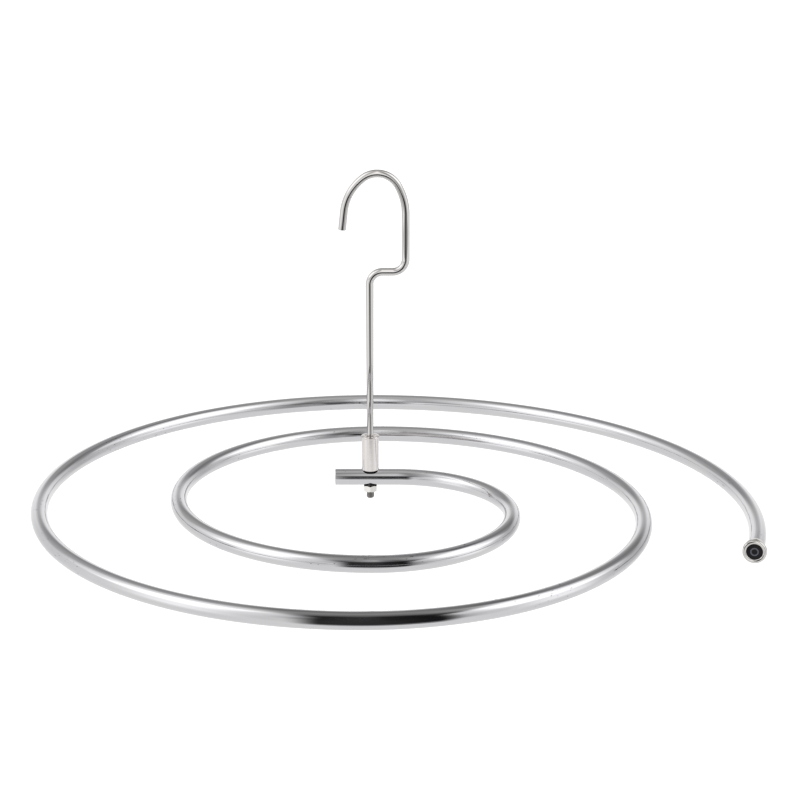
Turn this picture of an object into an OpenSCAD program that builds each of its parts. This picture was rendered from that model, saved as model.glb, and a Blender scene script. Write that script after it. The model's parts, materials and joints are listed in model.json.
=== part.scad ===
// Spiral drying hanger for sheets and quilts: a flat coil of stainless tube that
// turns freely under a bent wire hook. Millimetres, +Z up. The origin is the seat
// of the hook, the point that rests on a rail, and the coil lies level below it.

/* [Spiral tube] */
// Outside diameter of the tube
tube_d = 12.7; // [9:0.1:16]
// Wall thickness of the tube
tube_wall = 0.7; // [0.5:0.1:1.2]
// Straight length from the swivel axis back to the inner end
inner_tail = 27.6; // [18:0.2:60]
// Straight length from the swivel axis to the first bend
inner_lead = 19.5; // [8:0.5:60]
// Bend radius of each quarter turn of the centre line, from the middle outwards
quarter_r = [88, 103.5, 150.5, 153, 199, 208.5, 248, 251, 289]; // each 60 to 400
// Angle of the last bend, the others being quarter turns
last_bend = 103.7; // [60:0.1:130]

/* [Outer end] */
// How far the collar's bead stands out beyond the tube
collar_out = 2.45; // [1.8:0.05:4.5]
// Length of the collar behind the end of the tube
collar_skirt = 9.5; // [7:0.5:20]
// Thickness of the collar's lip in front of the tube
collar_lip = 2.2; // [1.5:0.1:4]
// Wall of the collar's thin edge, where it meets the tube
collar_edge = 0.35; // [0.2:0.05:0.6]
// Depth of the plug's face below the crown of the collar
plug_inset = 0.9; // [0.2:0.1:1.4]
// Length of each plug in the tube
plug_length = 12; // [8:0.5:20]
// Diameter of the ring moulded on the face of a plug
plug_ring_d = 5.8; // [4:0.1:6.4]

/* [Hook] */
// Diameter of the hook's wire
wire_d = 6; // [4:0.1:7]
// Height of the straight stem above the sleeve
stem_rise = 121.7; // [40:0.1:200]
// Inside step of the wire from the stem to the leg
jog_run = 7.7; // [2:0.1:30]
// Bend radius of the wire at both ends of the step
jog_r = 10; // [7:0.5:14]
// Straight length of the leg between the step and the crook
leg_rise = 35; // [20:1:60]
// Radius of the crown of the crook
crown_r = 18; // [12:0.5:25]
// Angle of the crown of the crook
crown_angle = 98; // [80:1:110]
// Radius of the flatter bend between the leg and the crown
shoulder_r = 45; // [30:1:60]
// Angle of the flatter bend between the leg and the crown
shoulder_angle = 30; // [20:1:40]
// Radius of the flatter bend between the crown and the tip
nose_r = 38; // [30:1:60]
// Straight length at the tip
tip_rise = 14; // [4:0.5:20]
// How far the tip leans outwards from upright, an angle
tip_lean = 6; // [0:1:12]

/* [Swivel] */
// Outside diameter of the sleeve
sleeve_d = 13.4; // [11.5:0.1:18]
// Length of the sleeve
sleeve_length = 28; // [22:0.5:50]
// How far the rolled rim stands out at the top of the sleeve
rim_out = 0.35; // [0.1:0.05:0.8]
// Height of the rolled rim
rim_height = 1.4; // [1:0.1:2.5]
// Length of the hole that guides the wire at the top of the sleeve
guide_length = 6; // [4:0.5:10]
// How far the wire's head stands out beyond the wire
head_out = 1.2; // [0.8:0.1:1.5]
// Thickness of the wire's head
head_height = 3; // [2:0.1:5]
// Radial clearance of the turning wire in its guide hole
swivel_gap = 0.08; // [0.02:0.01:0.1]
// Clearance round and above the wire's head in its chamber
head_gap = 0.3; // [0.3:0.05:0.5]

/* [Stud and nut] */
// Diameter of the threaded stud
stud_d = 6; // [5:0.5:7]
// Radial clearance of the stud in the tube's holes
stud_gap = 0.2; // [0.1:0.05:0.5]
// Length of stud below the nut
stud_tail = 6; // [2:0.5:12]
// Width of the nut across its flats
nut_flats = 10; // [9:0.5:13]
// Thickness of the nut
nut_height = 5; // [3:0.1:6]

/* [Hidden] */

steel = "silver";
black = "#1c1c20";
round_fn = 48;
sweep_fn = 144;
chamfer = 0.4;
seal_h = 0.4;
seal_out = 0.04;

tube_r = tube_d / 2;
bore_d = tube_d - 2 * tube_wall;
wire_r = wire_d / 2;
sleeve_r = sleeve_d / 2;
sleeve_top = tube_r + sleeve_length;
collar_d = tube_d + 2 * collar_out;

// Steps of a bent piece: [straight length, bend radius, bend angle], left bends positive.
// The tube ends in a straight length that the collar and the plug fit.
last_quarter = len(quarter_r) - 1;
outer_tail = max(collar_skirt, plug_length) + seal_h;
tube_steps = concat(
    [for (i = [0:last_quarter - 1]) [i == 0 ? inner_tail + inner_lead : 0, quarter_r[i], -90]],
    [[0, quarter_r[last_quarter], -last_bend], [outer_tail, 0, 0]]);

nose_angle = 180 - shoulder_angle - crown_angle - tip_lean;
shoulder_height = sleeve_top - guide_length;
head_top = shoulder_height - head_gap;
head_d = wire_d + 2 * head_out;
stem_length = sleeve_top + stem_rise - head_top;
wire_steps = [[stem_length, jog_r, -90],
              [jog_run, jog_r, 90],
              [leg_rise, shoulder_r, shoulder_angle],
              [0, crown_r, crown_angle],
              [0, nose_r, nose_angle],
              [tip_rise, 0, 0]];

// The seat is under the highest point of the crown, where the wire runs level
leg_x = 2 * jog_r + jog_run;
seat_x = leg_x - shoulder_r * (1 - cos(shoulder_angle)) - crown_r * cos(shoulder_angle);
seat_z = sleeve_top + stem_rise + 2 * jog_r + leg_rise
    + (shoulder_r - crown_r) * sin(shoulder_angle) + crown_r - wire_r;

chamber_d = head_d + 2 * head_gap;
chamber_floor = head_top - head_height - head_gap;
nut_corners = nut_flats / cos(30);
nut_foot = -tube_r - nut_height;

// Moves a piece from the middle of the coil, on the swivel axis, to the frame of the part
module placed() translate([-seat_x, 0, -seat_z]) children();

// One bend of a rod that runs along +X and turns in the XY plane; the child is its section
module bend(r, angle) {
    side = sign(angle);
    translate([0, side * r, 0])
        rotate(-90 * side)
            rotate_extrude(angle = angle, $fn = sweep_fn) translate([r, 0]) children();
}

// Places its children after a bend, with +X along the rod
module past_bend(r, angle)
    translate([0, sign(angle) * r, 0]) rotate(angle) translate([0, -sign(angle) * r, 0])
        children();

// A rod of straights and bends from the origin along +X. The first child is its section. The
// second is a section that is larger by a hair: a thin slice of it closes each joint from
// number seal_from on, which isn't on a quarter turn, so that the rod is one solid.
module bent_rod(steps, seal_from, i = 0) {
    if (i < len(steps)) {
        if (steps[i][0] > 0)
            rotate([0, 90, 0]) linear_extrude(steps[i][0]) children(0);
        translate([steps[i][0], 0, 0]) {
            if (steps[i][1] > 0)
                bend(steps[i][1], steps[i][2]) children(0);
            past_bend(steps[i][1], steps[i][2]) {
                if (i >= seal_from && i < len(steps) - 1)
                    rotate([0, 90, 0]) translate([0, 0, -seal_h / 2])
                        linear_extrude(seal_h) children(1);
                bent_rod(steps, seal_from, i + 1) {
                    children(0);
                    children(1);
                }
            }
        }
    }
}

// Places its children at the far end of such a rod, with +X pointing out of it
module at_end_of(steps, i = 0) {
    if (i < len(steps))
        translate([steps[i][0], 0, 0])
            past_bend(steps[i][1], steps[i][2]) at_end_of(steps, i + 1) children();
    else
        children();
}

module tube_start() translate([-inner_tail, 0, 0]) children();

module outer_end() tube_start() at_end_of(tube_steps) rotate([0, 90, 0]) children();

module ring(outer, inner) difference() {
    circle(d = outer, $fn = round_fn);
    circle(d = inner, $fn = round_fn);
}

// A bar with a chamfer at both ends
module bar(d, z0, z1, edge = chamfer)
    translate([0, 0, z0])
        rotate_extrude($fn = round_fn)
            polygon([[0, 0], [d / 2 - edge, 0], [d / 2, edge], [d / 2, z1 - z0 - edge],
                     [d / 2 - edge, z1 - z0], [0, z1 - z0]]);

module bore(d, z0, z1)
    translate([0, 0, z0]) cylinder(d = d, h = z1 - z0, $fn = round_fn);

// Wire bent to a crook, a leg and a stem, with a head formed on its lower end
module hook_wire() color(steel) {
    placed() translate([0, 0, head_top]) rotate([90, 0, 0]) rotate(90)
        bent_rod(wire_steps, seal_from = 0) {
            circle(d = wire_d, $fn = round_fn);
            circle(d = wire_d + seal_out, $fn = round_fn);
        }
    placed() bar(head_d, head_top - head_height, head_top);
}

// Turned barrel that the head of the wire turns in
module swivel_sleeve() color(steel) placed() difference() {
    rotate_extrude($fn = round_fn)
        polygon([[0, tube_r], [sleeve_r - chamfer, tube_r], [sleeve_r, tube_r + chamfer],
                 [sleeve_r, sleeve_top - rim_height - rim_out],
                 [sleeve_r + rim_out, sleeve_top - rim_height],
                 [sleeve_r + rim_out, sleeve_top - chamfer],
                 [sleeve_r + rim_out - chamfer, sleeve_top], [0, sleeve_top]]);
    bore(wire_d + 2 * swivel_gap, shoulder_height - 1, sleeve_top + 1);
    bore(chamber_d, tube_r - 1, shoulder_height);
    translate([0, 0, sleeve_top - 1])
        cylinder(d1 = wire_d, d2 = wire_d + 4, h = 2, $fn = round_fn);
}

// Stepped stud: a plug that closes the sleeve and a threaded shank through the tube
module swivel_stud() color(steel) placed() {
    bar(chamber_d, tube_r, chamber_floor);
    bar(stud_d, nut_foot - stud_tail, tube_r + 2 * chamfer, edge = 0.9);
}

// Hexagon nut, with one corner towards the front
module hex_nut() color(steel) placed() difference() {
    intersection() {
        translate([0, 0, nut_foot]) rotate(30) cylinder(d = nut_corners, h = nut_height, $fn = 6);
        bar(nut_corners, nut_foot, -tube_r, edge = (nut_corners - nut_flats) / 2);
    }
    bore(stud_d, nut_foot - 1, -tube_r + 1);
}

// The coil: one long tube in one plane, drilled through for the stud near its inner end
module spiral_tube() color(steel) placed() difference() {
    tube_start() bent_rod(tube_steps, seal_from = last_quarter) {
        ring(tube_d, bore_d);
        ring(tube_d + seal_out, bore_d - seal_out);
    }
    bore(stud_d + 2 * stud_gap, -tube_r - 1, tube_r + 1);
}

// Collar over the outer end of the tube: a hollow flare that ends in a round bead
module end_collar() color(steel) placed() outer_end() {
    bead_r = (collar_d - bore_d) / 4;
    bead_mid = (collar_d + bore_d) / 4;
    flare_r = (collar_d - tube_d) / 2 - collar_edge;
    bead_z = collar_lip - bead_r;
    rotate_extrude($fn = round_fn) {
        difference() {
            translate([tube_r, -collar_skirt])
                square([flare_r + collar_edge, collar_skirt + bead_z]);
            translate([tube_r + collar_edge + flare_r, bead_z - bead_r - flare_r])
                circle(r = flare_r, $fn = round_fn);
            translate([tube_r + collar_edge, -collar_skirt - 1])
                square([flare_r + 1, collar_skirt + 1 + bead_z - bead_r - flare_r]);
        }
        intersection() {
            translate([bead_mid, bead_z]) circle(r = bead_r, $fn = round_fn);
            union() {
                translate([bore_d / 2, 0]) square([2 * bead_r, collar_lip]);
                translate([tube_r, -collar_skirt]) square([2 * bead_r, collar_skirt]);
            }
        }
    }
}

// Push-in plastic plug, with its face at z = 0 and three ribs that grip the tube
module plug() {
    rib = plug_length / 6;
    bore(bore_d, -rib, 0);
    bore(bore_d - 0.8, -plug_length, -rib);
    for (i = [1:2])
        bar(bore_d, -(2 * i + 1) * rib, -2 * i * rib, edge = 0.35);
    difference() {
        bore(plug_ring_d, 0, 0.35);
        bore(plug_ring_d - 1.6, -1, 1);
    }
}

module end_plug() color(black) placed() outer_end()
    translate([0, 0, collar_lip - plug_inset]) plug();

module inner_plug() color(black) placed() tube_start()
    rotate([0, -90, 0]) translate([0, 0, -0.4]) plug();

hook_wire();
swivel_sleeve();
swivel_stud();
hex_nut();
spiral_tube();
end_collar();
end_plug();
inner_plug();
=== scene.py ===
import json
from math import cos, pi, radians, sin, tan

import bmesh
import bpy
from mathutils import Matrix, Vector


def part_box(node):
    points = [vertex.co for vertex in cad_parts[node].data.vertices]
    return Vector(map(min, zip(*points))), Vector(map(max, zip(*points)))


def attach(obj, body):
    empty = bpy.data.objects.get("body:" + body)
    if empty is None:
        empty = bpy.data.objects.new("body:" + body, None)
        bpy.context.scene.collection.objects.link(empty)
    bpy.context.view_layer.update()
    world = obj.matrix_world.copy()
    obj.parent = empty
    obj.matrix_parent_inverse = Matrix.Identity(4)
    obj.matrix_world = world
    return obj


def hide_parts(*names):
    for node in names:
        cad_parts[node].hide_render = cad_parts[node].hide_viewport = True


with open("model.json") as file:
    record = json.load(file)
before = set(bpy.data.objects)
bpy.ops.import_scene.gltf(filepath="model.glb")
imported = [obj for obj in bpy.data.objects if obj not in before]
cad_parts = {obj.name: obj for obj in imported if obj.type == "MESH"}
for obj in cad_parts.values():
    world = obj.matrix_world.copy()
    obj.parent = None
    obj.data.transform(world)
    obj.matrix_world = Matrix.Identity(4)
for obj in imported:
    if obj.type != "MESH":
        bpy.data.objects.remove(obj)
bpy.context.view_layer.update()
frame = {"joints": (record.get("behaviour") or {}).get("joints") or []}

# ---------------------------------------------------------------- camera
# The coil hangs level, a little below eye height, and is seen from the front at 16.8 degrees
# from a distance of 1.75 m, with the swivel left of the middle and low in the view.
MM = 0.001
VIEW_TILT = radians(16.8)
VIEW_DISTANCE = 1.75
AIM_RIGHT = 23.4 * MM
AIM_UP = 60.6 * MM
tube_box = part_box("spiral_tube")
axis_x = frame["joints"][0]["pos_m"][0]
coil_centre = Vector((axis_x, 0, (tube_box[0].z + tube_box[1].z) / 2))
view_up = Vector((0, sin(VIEW_TILT), cos(VIEW_TILT)))
view_back = Vector((0, -cos(VIEW_TILT), sin(VIEW_TILT)))
aim = coil_centre + Vector((AIM_RIGHT, 0, 0)) + view_up * AIM_UP

camera_data = bpy.data.cameras.new("camera")
camera_data.sensor_width = 36
camera_data.lens = 99.8
camera = bpy.data.objects.new("camera", camera_data)
camera.location = aim + view_back * VIEW_DISTANCE
camera.rotation_euler = (pi / 2 - VIEW_TILT, 0, 0)
bpy.context.scene.collection.objects.link(camera)
bpy.context.scene.camera = camera

# ---------------------------------------------------------------- spiral tube
# The hanger's coil: one length of thin-walled polished stainless tube, 12.7 mm across, bent
# in nine arcs on a roll bender to a flat spiral. The inner end is sawn square and deburred;
# the outer end runs straight for the length that the collar and its plug need.
TUBE_RADIUS = 6.35 * MM
TUBE_WALL = 0.7 * MM
# The bend radius of each arc, from the inner end outwards; all but the last are quarter turns
QUARTER_RADII_MM = [88, 103.5, 150.5, 153, 199, 208.5, 248, 251, 289]
LAST_BEND = radians(103.7)
INNER_TAIL = 27.6 * MM
INNER_LEAD = 19.5 * MM
OUTER_TAIL = 12.4 * MM
# How many short steps round an end edge, and how near two points are to be one
END_RINGS = 4
MERGE = 0.002 * MM


def colour(code):
    """The linear colour of an sRGB hex code."""
    parts = [int(code[i:i + 2], 16) / 255 for i in (1, 3, 5)]
    return (*[p / 12.92 if p <= 0.04045 else ((p + 0.055) / 1.055) ** 2.4 for p in parts], 1)


def add(tree, kind, links=None, **settings):
    """Adds a node. links gives input sockets, by name or number, a value or an output."""
    node = tree.nodes.new(kind)
    for name, value in settings.items():
        setattr(node, name, value)
    for socket, source in (links or {}).items():
        if isinstance(source, bpy.types.NodeSocket):
            tree.links.new(source, node.inputs[socket])
        else:
            node.inputs[socket].default_value = source
    return node


def new_tree(name, inputs):
    """A Geometry Nodes tree with these named inputs, and the sockets that give them."""
    tree = bpy.data.node_groups.new(name, "GeometryNodeTree")
    tree.interface.new_socket("Geometry", in_out="INPUT", socket_type="NodeSocketGeometry")
    for label, kind in inputs:
        tree.interface.new_socket(label, in_out="INPUT", socket_type="NodeSocket" + kind)
    tree.interface.new_socket("Geometry", in_out="OUTPUT", socket_type="NodeSocketGeometry")
    return tree, add(tree, "NodeGroupInput").outputs


def grown(host, tree, values):
    """Runs a tree on a host with these inputs and leaves its result there as a plain mesh.

    A grown mesh may bring an empty material slot along, which is dropped.
    """
    modifier = host.modifiers.new(tree.name, "NODES")
    modifier.node_group = tree
    for item in tree.interface.items_tree:
        if item.in_out == "INPUT" and item.name in values:
            modifier[item.identifier] = values[item.name]
    bpy.context.view_layer.update()
    depsgraph = bpy.context.evaluated_depsgraph_get()
    mesh = bpy.data.meshes.new_from_object(
        host.evaluated_get(depsgraph), preserve_all_data_layers=True, depsgraph=depsgraph)
    host.modifiers.remove(modifier)
    while mesh.materials[0] is None:
        mesh.materials.pop(index=0)
    host.data = mesh
    return host


def host_object(name, vertices=(), edges=()):
    """A new object in the scene, which holds these points and edges."""
    mesh = bpy.data.meshes.new(name)
    mesh.from_pydata(vertices, edges, [])
    piece = bpy.data.objects.new(name, mesh)
    bpy.context.scene.collection.objects.link(piece)
    return piece


def bar_tree(name, hollow):
    """A tree that sweeps a round bar or tube along a line, with its end edges rounded.

    The attribute drawn holds, in metres, how far along the bar a point is and its two
    places across the section, so that patterns follow the metal round every bend.
    """
    tree, given = new_tree(name, [("Radius", "Float"), ("Bore radius", "Float"),
                                  ("Edge", "Float"), ("Sides", "Int"), ("Finish", "Material")])
    line = add(tree, "GeometryNodeMeshToCurve", {"Mesh": given["Geometry"]}).outputs["Curve"]
    along = add(tree, "GeometryNodeSplineParameter").outputs["Length"]
    whole = add(tree, "GeometryNodeCurveLength", {"Curve": line}).outputs["Length"]
    left = add(tree, "ShaderNodeMath", {0: whole, 1: along}, operation="SUBTRACT").outputs[0]
    near = add(tree, "ShaderNodeMath", {0: along, 1: left}, operation="MINIMUM").outputs[0]
    inside = add(tree, "ShaderNodeMath", {0: given["Edge"], 1: near},
                 operation="SUBTRACT").outputs[0]
    inside = add(tree, "ShaderNodeMath", {0: inside, 1: 0.0}, operation="MAXIMUM").outputs[0]
    square = add(tree, "ShaderNodeMath", {0: inside, 1: inside}, operation="MULTIPLY").outputs[0]
    full = add(tree, "ShaderNodeMath", {0: given["Edge"], 1: given["Edge"]},
               operation="MULTIPLY").outputs[0]
    rest = add(tree, "ShaderNodeMath", {0: full, 1: square}, operation="SUBTRACT").outputs[0]
    root = add(tree, "ShaderNodeMath", {0: rest}, operation="SQRT").outputs[0]
    drop = add(tree, "ShaderNodeMath", {0: given["Edge"], 1: root}, operation="SUBTRACT").outputs[0]
    line = add(tree, "GeometryNodeStoreNamedAttribute",
               {"Geometry": line, "Name": "along", "Value": along}, data_type="FLOAT").outputs[0]
    shells = []
    for size, sign in [("Radius", "SUBTRACT"), ("Bore radius", "ADD")][:2 if hollow else 1]:
        ring = add(tree, "GeometryNodeCurvePrimitiveCircle",
                   {"Resolution": given["Sides"], "Radius": given[size]}).outputs["Curve"]
        place = add(tree, "GeometryNodeInputPosition").outputs[0]
        ring = add(tree, "GeometryNodeStoreNamedAttribute",
                   {"Geometry": ring, "Name": "across", "Value": place},
                   data_type="FLOAT_VECTOR").outputs[0]
        eased = add(tree, "ShaderNodeMath", {0: given[size], 1: drop}, operation=sign).outputs[0]
        scale = add(tree, "ShaderNodeMath", {0: eased, 1: given[size]},
                    operation="DIVIDE").outputs[0]
        shell = add(tree, "GeometryNodeCurveToMesh", {"Curve": line, "Profile Curve": ring,
                    "Scale": scale, "Fill Caps": not hollow}).outputs["Mesh"]
        if size == "Bore radius":
            shell = add(tree, "GeometryNodeFlipFaces", {"Mesh": shell}).outputs["Mesh"]
        shells.append(shell)
    joined = add(tree, "GeometryNodeJoinGeometry")
    for shell in shells:
        tree.links.new(shell, joined.inputs[0])
    merged = add(tree, "GeometryNodeMergeByDistance",
                 {"Geometry": joined.outputs[0], "Distance": MERGE}).outputs[0]
    across = add(tree, "GeometryNodeInputNamedAttribute", {"Name": "across"},
                 data_type="FLOAT_VECTOR").outputs["Attribute"]
    sideways = add(tree, "ShaderNodeSeparateXYZ", {0: across}).outputs
    run = add(tree, "GeometryNodeInputNamedAttribute", {"Name": "along"},
              data_type="FLOAT").outputs["Attribute"]
    drawn = add(tree, "ShaderNodeCombineXYZ",
                {0: run, 1: sideways[0], 2: sideways[1]}).outputs[0]
    stored = add(tree, "GeometryNodeStoreNamedAttribute",
                 {"Geometry": merged, "Name": "drawn", "Value": drawn},
                 data_type="FLOAT_VECTOR").outputs[0]
    smooth = add(tree, "GeometryNodeSetShadeSmooth", {"Geometry": stored}).outputs[0]
    real = add(tree, "GeometryNodeRealizeInstances", {"Geometry": smooth}).outputs[0]
    done = add(tree, "GeometryNodeSetMaterial",
               {"Geometry": real, "Material": given["Finish"]}).outputs[0]
    add(tree, "NodeGroupOutput", {0: done})
    return tree


def coil_tree():
    """A tree that lays out the coil's centre line from one bend radius for each arc.

    The line is a row of chords: short ones round the edge of each end, the straights, and
    the same number of chords for each arc. Adding them up gives each point its place. The
    chords and arcs are told apart at the halves between their numbers.
    """
    arcs = len(QUARTER_RADII_MM)
    sizes = [("Start", "Vector"), ("Inner straight", "Float"), ("Outer straight", "Float"),
             ("Last bend", "Float"), ("Chords per arc", "Int"), ("Radius", "Float"),
             ("Bore radius", "Float"), ("Edge", "Float"), ("Sides", "Int"), ("Finish", "Material")]
    tree, given = new_tree("coil", sizes + [(f"Arc {i + 1}", "Float") for i in range(arcs)])
    chords = given["Chords per arc"]
    bent = add(tree, "ShaderNodeMath", {0: chords, 1: arcs}, operation="MULTIPLY").outputs[0]
    count = add(tree, "ShaderNodeMath", {0: bent, 1: 2 * END_RINGS + 3}, operation="ADD").outputs[0]
    row = add(tree, "GeometryNodeMeshLine", {"Count": count}, mode="OFFSET").outputs[0]
    index = add(tree, "GeometryNodeInputIndex").outputs[0]

    # Which arc a chord is in, counted from the first chord after the inner straight
    place = add(tree, "ShaderNodeMath", {0: index, 1: END_RINGS + 1},
                operation="SUBTRACT").outputs[0]
    share = add(tree, "ShaderNodeMath", {0: place, 1: chords}, operation="DIVIDE").outputs[0]
    arc = add(tree, "ShaderNodeMath", {0: share}, operation="FLOOR").outputs[0]
    begun = add(tree, "ShaderNodeMath", {0: place, 1: -0.5}, operation="GREATER_THAN").outputs[0]
    going = add(tree, "ShaderNodeMath", {0: arc, 1: arcs - 0.5}, operation="LESS_THAN").outputs[0]
    in_arc = add(tree, "ShaderNodeMath", {0: begun, 1: going}, operation="MULTIPLY").outputs[0]
    radius = add(tree, "GeometryNodeIndexSwitch", data_type="FLOAT")
    for i in range(arcs - 2):
        radius.index_switch_items.new()
    tree.links.new(arc, radius.inputs[0])
    for i in range(arcs):
        tree.links.new(given[f"Arc {i + 1}"], radius.inputs[i + 1])
    is_last = add(tree, "ShaderNodeMath", {0: arc, 1: arcs - 1.5},
                  operation="GREATER_THAN").outputs[0]
    angle = add(tree, "GeometryNodeSwitch", {0: is_last, 1: pi / 2, 2: given["Last bend"]},
                input_type="FLOAT").outputs[0]

    # How far the tube turns at a chord, and the chord's length
    turn = add(tree, "ShaderNodeMath", {0: angle, 1: chords}, operation="DIVIDE").outputs[0]
    turn = add(tree, "ShaderNodeMath", {0: turn, 1: in_arc}, operation="MULTIPLY").outputs[0]
    half = add(tree, "ShaderNodeMath", {0: turn, 1: 0.5}, operation="MULTIPLY").outputs[0]
    rise = add(tree, "ShaderNodeMath", {0: half}, operation="SINE").outputs[0]
    wide = add(tree, "ShaderNodeMath", {0: radius.outputs[0], 1: 2.0},
               operation="MULTIPLY").outputs[0]
    chord = add(tree, "ShaderNodeMath", {0: rise, 1: wide}, operation="MULTIPLY").outputs[0]
    short = add(tree, "ShaderNodeMath", {0: given["Edge"], 1: END_RINGS},
                operation="DIVIDE").outputs[0]
    at_inner = add(tree, "ShaderNodeMath", {0: index, 1: END_RINGS, 2: 0.5},
                   operation="COMPARE").outputs[0]
    last = add(tree, "ShaderNodeMath", {0: bent, 1: END_RINGS + 1}, operation="ADD").outputs[0]
    at_outer = add(tree, "ShaderNodeMath", {0: index, 1: last, 2: 0.5},
                   operation="COMPARE").outputs[0]
    length = add(tree, "GeometryNodeSwitch", {0: at_inner, 1: short, 2: given["Inner straight"]},
                 input_type="FLOAT").outputs[0]
    length = add(tree, "GeometryNodeSwitch", {0: at_outer, 1: length, 2: given["Outer straight"]},
                 input_type="FLOAT").outputs[0]
    length = add(tree, "GeometryNodeSwitch", {0: in_arc, 1: length, 2: chord},
                 input_type="FLOAT").outputs[0]

    # The coil winds outwards clockwise from above, so its heading falls
    heading = add(tree, "GeometryNodeAccumulateField", {0: turn},
                  data_type="FLOAT").outputs["Trailing"]
    heading = add(tree, "ShaderNodeMath", {0: heading, 1: half}, operation="ADD").outputs[0]
    east = add(tree, "ShaderNodeMath", {0: heading}, operation="COSINE").outputs[0]
    south = add(tree, "ShaderNodeMath", {0: heading}, operation="SINE").outputs[0]
    south = add(tree, "ShaderNodeMath", {0: south, 1: -1.0}, operation="MULTIPLY").outputs[0]
    course = add(tree, "ShaderNodeCombineXYZ", {0: east, 1: south}).outputs[0]
    step = add(tree, "ShaderNodeVectorMath", {0: course, 3: length}, operation="SCALE").outputs[0]
    walked = add(tree, "GeometryNodeAccumulateField", {0: step},
                 data_type="FLOAT_VECTOR").outputs["Trailing"]
    point = add(tree, "ShaderNodeVectorMath", {0: walked, 1: given["Start"]},
                operation="ADD").outputs[0]
    laid = add(tree, "GeometryNodeSetPosition", {"Geometry": row, "Position": point}).outputs[0]
    swept = add(tree, "GeometryNodeGroup", node_tree=bar_tree("tube along the coil", hollow=True))
    tree.links.new(laid, swept.inputs["Geometry"])
    for label in ("Radius", "Bore radius", "Edge", "Sides", "Finish"):
        tree.links.new(given[label], swept.inputs[label])
    real = add(tree, "GeometryNodeRealizeInstances", {0: swept.outputs[0]}).outputs[0]
    done = add(tree, "GeometryNodeSetMaterial",
               {"Geometry": real, "Material": given["Finish"]}).outputs[0]
    add(tree, "NodeGroupOutput", {0: done})
    return tree


def new_finish(name, constants):
    """A new material, its node tree and its shader, whose sockets take these constants."""
    finish = bpy.data.materials.new(name)
    finish.use_nodes = True
    shader = finish.node_tree.nodes["Principled BSDF"]
    for socket, value in constants.items():
        shader.inputs[socket].default_value = value
    return finish, finish.node_tree, shader


def drawn_stainless(name, tint, line_mm, run_mm, depth_mm, pits):
    """Polished stainless tube or wire: near mirror, with faint lines left by drawing it.

    line_mm and run_mm are the width and the length of the lines, drawn coarser than the real
    ones so that they show. Small dark pits, up to 3 mm long, stand in loose patches, and more
    of the surface has them when pits is greater. tint is two tones of steel and the pits'.
    """
    steel, tree, shader = new_finish(name, {"Metallic": 1.0})
    drawn = add(tree, "ShaderNodeAttribute", attribute_name="drawn").outputs["Vector"]
    line_scale = (1 / (run_mm * MM), 1 / (line_mm * MM), 1 / (line_mm * MM))
    lines_at = add(tree, "ShaderNodeMapping", {"Vector": drawn, "Scale": line_scale}).outputs[0]
    lines = add(tree, "ShaderNodeTexNoise",
                {"Vector": lines_at, "Scale": 1.0, "Detail": 3.0}).outputs[0]
    pit_scale = (1 / (3.0 * MM), 1 / (1.2 * MM), 1 / (1.2 * MM))
    pits_at = add(tree, "ShaderNodeMapping", {"Vector": drawn, "Scale": pit_scale}).outputs[0]
    speckle = add(tree, "ShaderNodeTexNoise",
                  {"Vector": pits_at, "Scale": 1.0, "Detail": 2.0}).outputs[0]
    pitted = add(tree, "ShaderNodeMapRange", {"Value": speckle, "From Min": 0.66,
                 "From Max": 0.70}, interpolation_type="SMOOTHSTEP").outputs[0]

    # Clouds about 55 mm long and 11 mm wide shade the steel and hold the pits
    cloud_scale = (18.0, 90.0, 90.0)
    cloud_at = add(tree, "ShaderNodeMapping", {"Vector": drawn, "Scale": cloud_scale}).outputs[0]
    cloud = add(tree, "ShaderNodeTexNoise",
                {"Vector": cloud_at, "Scale": 1.0, "Detail": 2.0}).outputs[0]
    patch = add(tree, "ShaderNodeMapRange", {"Value": cloud, "From Min": 0.60 - pits,
                "From Max": 0.64 - pits}, interpolation_type="SMOOTHSTEP").outputs[0]
    pitted = add(tree, "ShaderNodeMath", {0: pitted, 1: patch}, operation="MULTIPLY").outputs[0]
    shade = add(tree, "ShaderNodeMix", {0: cloud, 6: colour(tint[0]), 7: colour(tint[1])},
                data_type="RGBA").outputs[2]
    worn = add(tree, "ShaderNodeMix", {0: pitted, 6: shade, 7: colour(tint[2])},
               data_type="RGBA").outputs[2]
    tree.links.new(worn, shader.inputs["Base Color"])
    rough = add(tree, "ShaderNodeMapRange", {"Value": lines, "From Min": 0.3, "From Max": 0.7,
                "To Min": 0.02, "To Max": 0.07}).outputs[0]
    rough = add(tree, "ShaderNodeMath", {0: pitted, 1: 0.25, 2: rough},
                operation="MULTIPLY_ADD").outputs[0]
    tree.links.new(rough, shader.inputs["Roughness"])
    bump = add(tree, "ShaderNodeBump",
               {"Height": lines, "Distance": depth_mm * MM, "Strength": 1.0}).outputs[0]
    tree.links.new(bump, shader.inputs["Normal"])
    return steel


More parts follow.
